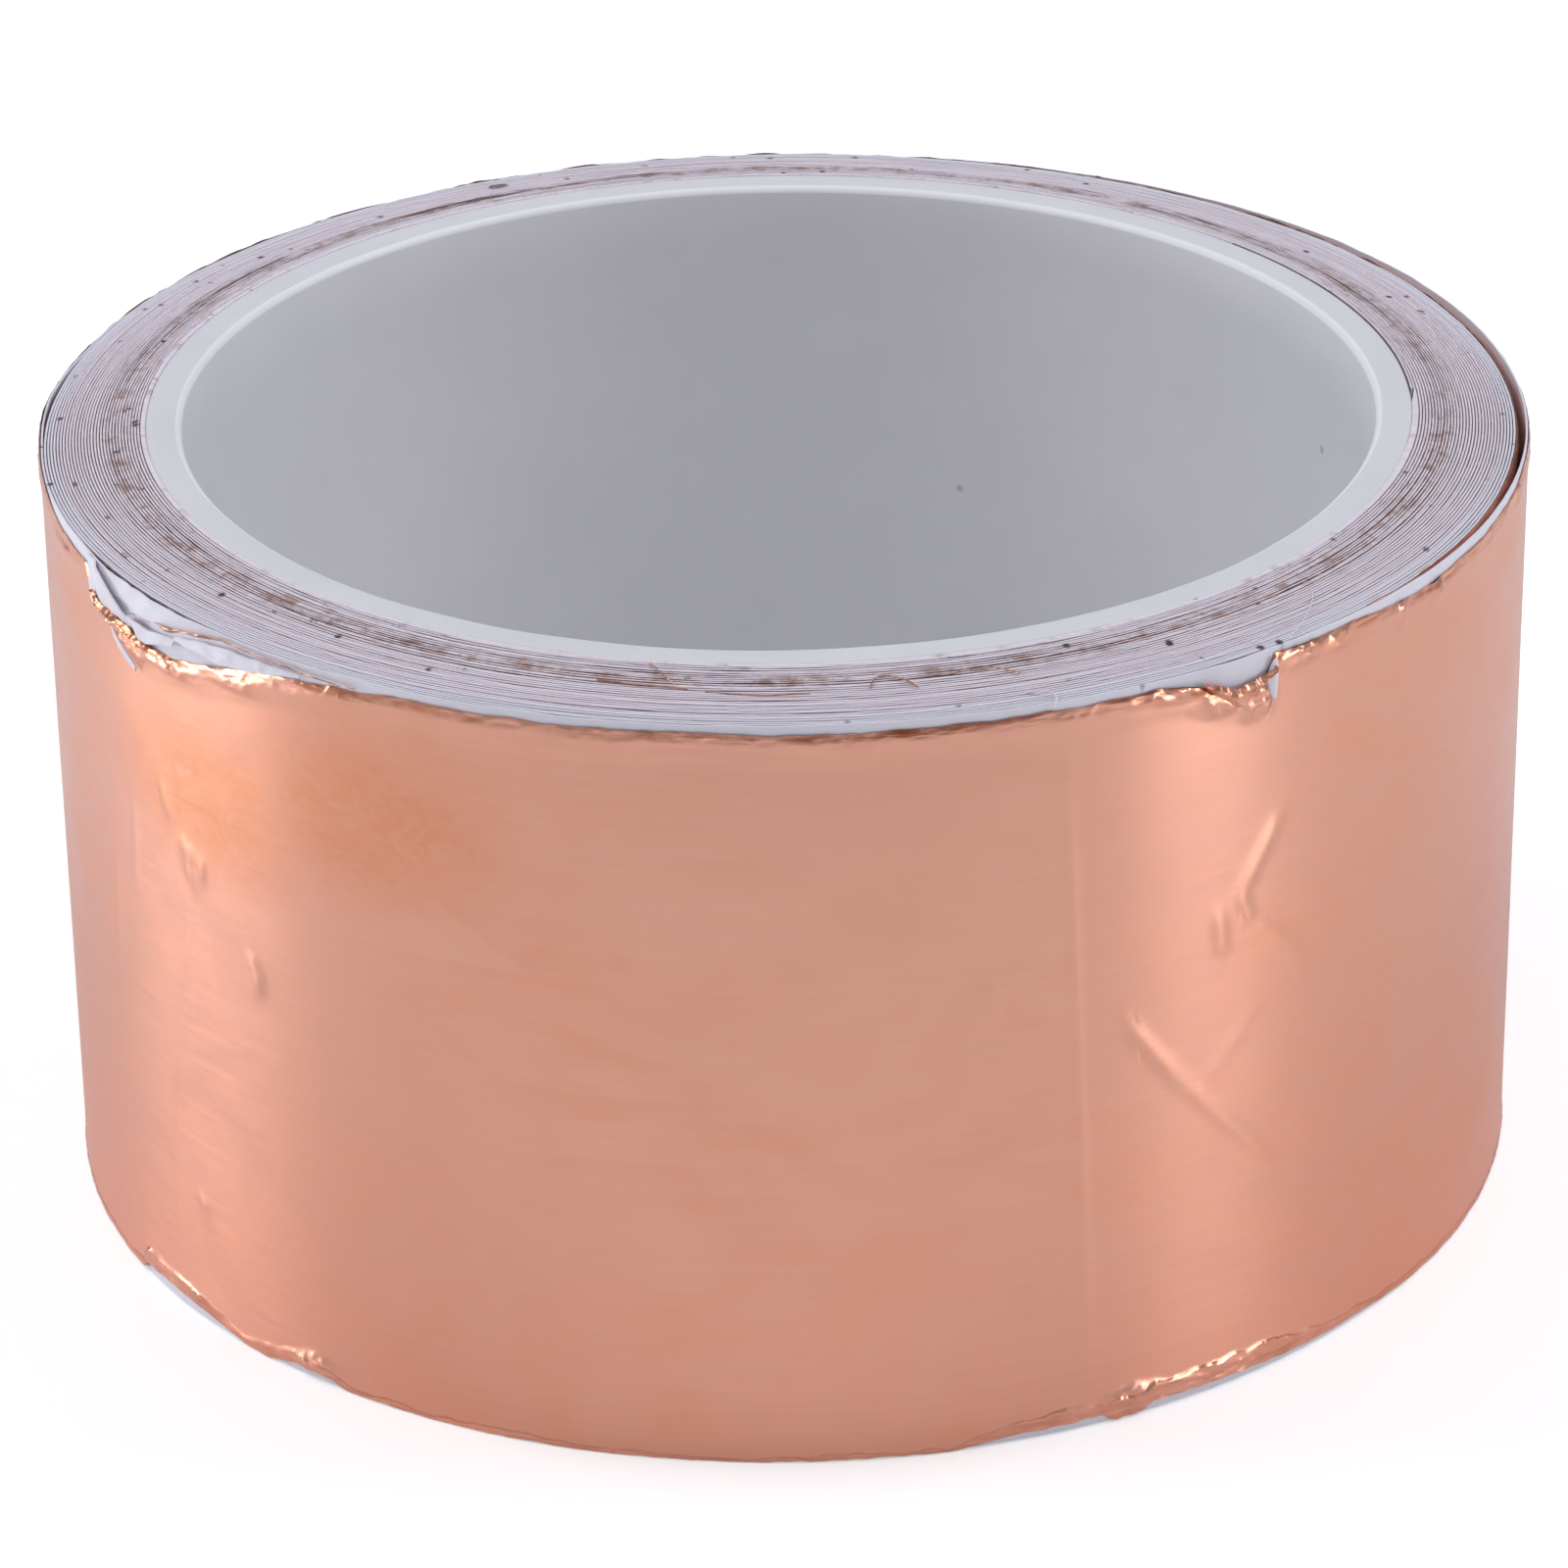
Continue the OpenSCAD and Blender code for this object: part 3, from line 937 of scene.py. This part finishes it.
# Steps between the rows of a sheet's top, middle and bottom zones
FINE_STEPS = (0.14 * MM, 0.5 * MM, 0.14 * MM)
PLAIN_STEPS = (0.3 * MM, 2.0 * MM, 0.4 * MM)
PAPER_STEPS = (0.25 * MM, 4.0 * MM, 0.4 * MM)


def build_roll(copper, cut, adhesive, paper, plastic):
    seam = KINK + 3
    for piece, node, slot in (
        (make_core(plastic), "core", "core_plastic"),
        (make_starter(adhesive), "starter_strip", "adhesive"),
        (stuck_turns("liner_turns", "liner", paper), "liner_winding", "liner_paper"),
        (stuck_turns("adhesive_turns", "adhesive", adhesive), "adhesive_winding", "adhesive"),
        (stuck_turns("foil_turns", "foil", cut), "foil_winding", "copper"),
        (outer_piece("foil_last_turn_front", "foil", seam, ROOT, 0.25, FINE_STEPS, copper, 8),
         None, "copper"),
        (outer_piece("foil_last_turn_back", "foil", LAST_FROM, seam, 0.75, PLAIN_STEPS, copper, 2),
         None, "copper"),
        (outer_piece("adhesive_last_turn", "adhesive", LAST_FROM, ROOT, 0.75, PLAIN_STEPS,
                     adhesive, 2), None, "adhesive"),
        (outer_piece("liner_last_turn", "liner", LAST_FROM, ROOT, 0.5, PAPER_STEPS, paper, 2),
         None, "liner_paper"),
    ):
        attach(piece, "roll")
        if node:
            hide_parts(node)


# Scraps at the tear and at the notch in the copper's edge: name, layer, seed, and knots for
# make_ribbon
RIBBONS = [
    ("torn_liner_fold", "liner", 231, [
        (206.3, 46.9, 50.1, 0.02, 0.05), (208, 46.8, 50.05, 0.05, 0.15),
        (208.9, 46.8, 50, 0.08, 0.45), (211.5, 46.9, 49.1, 0.10, 0.55),
        (213, 47.2, 48.4, 0.10, 0.50), (214, 47.4, 48, 0.05, 0.25)]),
    ("torn_liner_pleat", "liner", 241, [
        (213.9, 47.9, 48.4, 0.05, 0.45), (215.2, 47.1, 48.3, 0.35, 0.50),
        (217, 47.4, 48.2, 0.50, 0.35), (219.8, 48, 48.4, 0.40, 0.15)]),
    ("torn_liner_lens", "liner", 251, [
        (219.5, 48.3, 48.5, 0.15, 0.05), (222.5, 48.4, 49, 0.35, 0.10),
        (225.4, 48.3, 49.3, 0.45, 0.15), (229.4, 48.8, 49.4, 0.40, 0.10),
        (233, 49.2, 49.4, 0.15, 0.05)]),
    ("torn_foil_line", "foil", 261, [
        (213.8, 48.30, 48.42, 0.1, 0.2), (217.6, 48.70, 48.82, 0.1, 0.2),
        (218.6, 48.60, 48.95, 0.2, 0.3), (220.6, 49.05, 49.20, 0.1, 0.2),
        (222.3, 49.25, 49.50, 0.2, 0.3), (225.1, 49.75, 49.92, 0.1, 0.2),
        (228.5, 49.65, 49.80, 0.1, 0.2), (231.3, 49.55, 49.70, 0.1, 0.2),
        (238, 49.45, 49.55, 0.1, 0.2)]),
    ("torn_liner_sliver", "liner", 271, [
        (210.5, 46.3, 46.7, 0.10, 0.15), (211.5, 45.7, 46.2, 0.25, 0.25),
        (212.8, 45.1, 45.6, 0.30, 0.25), (214.3, 44.7, 44.95, 0.25, 0.20)]),
    ("notch_liner_fold", "liner", 281, [
        (306.9, 47.9, 48.3, 0.10, 0.10), (307.2, 47, 49.2, 0.25, 0.25),
        (307.5, 46.8, 49.5, 0.35, 0.30), (307.8, 47.1, 49.3, 0.15, 0.15)]),
]
# Tongues of foil there: name, start and end angle, length in mm, seed
TONGUES = [("torn_foil_tongue", 207.6, 216.5, 0.9, 201), ("notch_foil_tongue", 301.0, 307.4, 1.1, 221)]


def torn_pieces(copper, paper, scrap):
    """Tongues, folds and slivers at the tear and at the notch."""
    looks = {"liner": (LINER_T, paper, "liner_paper"), "foil": (FOIL_T, scrap, "copper")}
    pieces = []
    for name, layer, seed, knots in RIBBONS:
        thick, material, slot = looks[layer]
        pieces.append((make_ribbon(name, knots, thick, material, seed), slot))
    return pieces + [(make_flap(*tongue, copper), "copper") for tongue in TONGUES]


def loose_threads(paper, scrap):
    """Hairs of paper and slivers of foil on the winding's face."""
    top = TAPE / MM
    hairs = [
        (0.035, [(317.3, 43.5, top + 0.40), (315.4, 44.9, top + 0.45), (312.8, 46.2, top + 0.35),
                 (309.4, 47.5, top + 0.10)]),
        (0.030, [(306.3, 46.7, top + 0.20), (309.0, 46.4, top + 0.35), (311.6, 46.4, top + 0.3)]),
        (0.060, [(288.0, 46.2, top + 0.25), (289.6, 47.2, top + 0.35), (289.2, 48.0, top - 0.1)]),
    ]
    slivers = [
        (0.050, [(259.0, 41.3, top + 0.95), (260.6, 42.8, top + 0.85), (261.6, 43.6, top + 0.75)]),
        (0.060, [(255.4, 43.5, top + 0.62), (259.0, 43.7, top + 0.66), (262.6, 43.8, top + 0.6)]),
        (0.055, [(276.6, 44.1, top + 0.62), (277.4, 43.0, top + 0.80), (279.2, 43.4, top + 0.75),
                 (280.2, 44.4, top + 0.6)]),
        (0.045, [(283.0, 43.2, top + 0.65), (285.6, 43.0, top + 0.80), (288.4, 44.2, top + 0.62)]),
        (0.040, [(264.0, 44.0, top + 0.50), (268.0, 44.3, top + 0.52), (272.0, 44.2, top + 0.5)]),
    ]
    pieces = [(make_thread(f"hair_{i}", line, r, paper), "liner_paper")
              for i, (r, line) in enumerate(hairs, 1)]
    return pieces + [(make_thread(f"sliver_{i}", line, r, scrap), "copper")
                     for i, (r, line) in enumerate(slivers, 1)]


def crumbs(dirt):
    """Dark spots on the winding's face: angle, distance from the axis, half sizes in mm."""
    spots = [
        (115.5, 45.3, 0.75, 0.50), (193.8, 45.75, 0.40, 0.22), (180.3, 42.2, 0.22, 0.18),
        (198.0, 42.1, 0.20, 0.22), (201.4, 45.1, 0.22, 0.20), (225.8, 43.8, 0.25, 0.20),
        (229.5, 43.3, 0.28, 0.26), (228.9, 41.8, 0.16, 0.14), (148.9, 46.1, 0.25, 0.15),
        (311.3, 43.4, 0.22, 0.12), (297.0, 43.0, 0.30, 0.12), (336.0, 44.2, 0.20, 0.16),
    ]
    return [(make_speck(f"crumb_{i}", *spot, dirt), "adhesive") for i, spot in enumerate(spots, 1)]


def build_scraps(copper, paper):
    scrap = scrap_material()
    scraps = torn_pieces(copper, paper, scrap) + loose_threads(paper, scrap)
    for piece, slot in scraps + crumbs(dirt_material()):
        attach(piece, "roll")


JOINED = 4  # stretches of the loose end, from its root, in which the liner stays on the foil


def tail_spans():
    """Pieces of the loose end, in stretches from its root: where each starts and ends, and a third
    angle, where its bend would stop, which nothing here reads. The first and those past the
    joined stretches start at their hinge and the others half a stretch before it."""
    spans = []
    for k in range(1, STRETCHES + 1):
        hinge = k - 1
        start = hinge - (0.5 if 1 < k <= JOINED else 0.0)
        end = hinge + 0.5 if k < JOINED else float(k)
        spans.append((k, start, end, hinge + 0.5))
    return spans


def tail_angle(stretch):
    return ROOT + stretch * TAIL_STEP / TAIL_RATE


def build_tail(copper, adhesive, paper):
    bodies = {
        "foil": ["roll"] + [f"tail_{k}" for k in range(1, STRETCHES + 1)],
        "liner": ["roll"] + [f"{'tail' if k <= JOINED else 'liner'}_{k}"
                             for k in range(1, STRETCHES + 1)],
    }
    bodies["adhesive"] = bodies["foil"]
    looks = {
        "foil": (copper, "copper", 0.3, (0.16 * MM, 0.8 * MM, 0.2 * MM), 6),
        "adhesive": (adhesive, "adhesive", 0.75, (0.5 * MM, 4 * MM, 0.5 * MM), 2),
        "liner": (paper, "liner_paper", 0.75, (0.5 * MM, 4 * MM, 0.5 * MM), 2),
    }
    for layer, (material, slot, column, steps, thin) in looks.items():
        for k, start, end, bend_to in tail_spans():
            piece = outer_piece(f"{layer}_end_{k}", layer, tail_angle(start), tail_angle(end),
                                column, steps, material, thin)
            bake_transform(piece)
            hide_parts(f"{layer}_tail_{k}")


# -------- stage


def make_floor(material):
    """A plain floor a hair below the roll, so that the two don't share a plane."""
    half = 3.0
    mesh = bpy.data.meshes.new("floor")
    corners = [(-half, -half, 0), (half, -half, 0), (half, half, 0), (-half, half, 0)]
    mesh.from_pydata(corners, [], [(0, 1, 2, 3)])
    mesh.materials.append(material)
    floor = add_object("floor", mesh)
    floor.location.z = -0.05 * MM


def area_light(name, place, target, size, power, colour=(1, 1, 1)):
    data = bpy.data.lights.new(name, "AREA")
    data.shape = "RECTANGLE"
    data.size, data.size_y = size
    data.energy = power
    data.color = colour
    light = add_object(name, data)
    light.location = place
    aim = Vector(target) - Vector(place)
    light.rotation_euler = aim.to_track_quat("-Z", "Y").to_euler()


# Soft light of the room from the camera's side and from behind the roll
ROOM_FRONT, ROOM_BACK, ROOM_STRENGTH = (0.95, 0.935, 0.98), (0.78, 0.88, 1.10), 0.375


def make_world():
    world = bpy.data.worlds.new("studio")
    n = Nodes(world, "BACKGROUND")
    side = n.node("SeparateXYZ", {0: n.node("TexCoord").outputs["Generated"]}).outputs["Y"]
    colour = n.mix(n.spread(side, -1.0, 0.6), rgb(*ROOM_FRONT), rgb(*ROOM_BACK))
    n.feed(n.out, {"Color": colour, "Strength": ROOM_STRENGTH})
    bpy.context.scene.world = world


def make_lights():
    """Broad lights from above for the bore, and two low strips for the bands on the copper."""
    area_light("top", (0.0, 0.05, 0.9), (0, 0, 0), (0.8, 0.8), 1.0, (1.0, 0.99, 1.0))
    area_light("over_left", (-0.55, 0.1, 0.6), (0, 0, 0.03), (0.4, 0.4), 1.65)
    area_light("over_right", (0.55, 0.1, 0.6), (0, 0, 0.03), (0.4, 0.4), 1.65)
    area_light("left", (-0.63, 0.05, 0.047), (0, 0, 0.045), (0.36, 0.09), 1.05)
    area_light("right", (0.530, -0.285, 0.047), (0, 0, 0.045), (0.17, 0.09), 0.42)


CAMERA_AT = (-0.0006, -0.3831, 0.2098)
CAMERA_DOWN, CAMERA_ASIDE, CAMERA_ROLL = math.radians(25.98), math.radians(0.09), -0.0144
SENSOR_MM, LENS_MM = 36.0, 147.0


def make_camera():
    """Looks down at the roll from the front, with the slight roll of a hand-held frame."""
    data = bpy.data.cameras.new("camera")
    data.sensor_width = SENSOR_MM
    data.lens = LENS_MM
    data.clip_start = 0.01
    data.clip_end = 20.0
    down, aside, roll = CAMERA_DOWN, CAMERA_ASIDE, CAMERA_ROLL
    forward = Vector((math.sin(aside) * math.cos(down), math.cos(aside) * math.cos(down),
                      -math.sin(down)))
    right = forward.cross(Vector((0, 0, 1))).normalized()
    up = right.cross(forward)
    tilted = right * math.cos(roll) + up * math.sin(roll)
    upward = up * math.cos(roll) - right * math.sin(roll)
    turn = Matrix((tilted, upward, -forward)).transposed().to_4x4()
    camera = add_object("camera", data)
    camera.matrix_world = Matrix.Translation(CAMERA_AT) @ turn
    bpy.context.scene.camera = camera


def main():
    make_camera()
    copper, cut = copper_material(), cut_copper_material()
    adhesive, paper, plastic = adhesive_material(), paper_material(), core_material()
    build_roll(copper, cut, adhesive, paper, plastic)
    build_scraps(copper, paper)
    build_tail(copper, adhesive, paper)
    make_floor(floor_material())
    make_world()
    make_lights()
    bpy.context.scene.view_settings.view_transform = "Standard"


main()
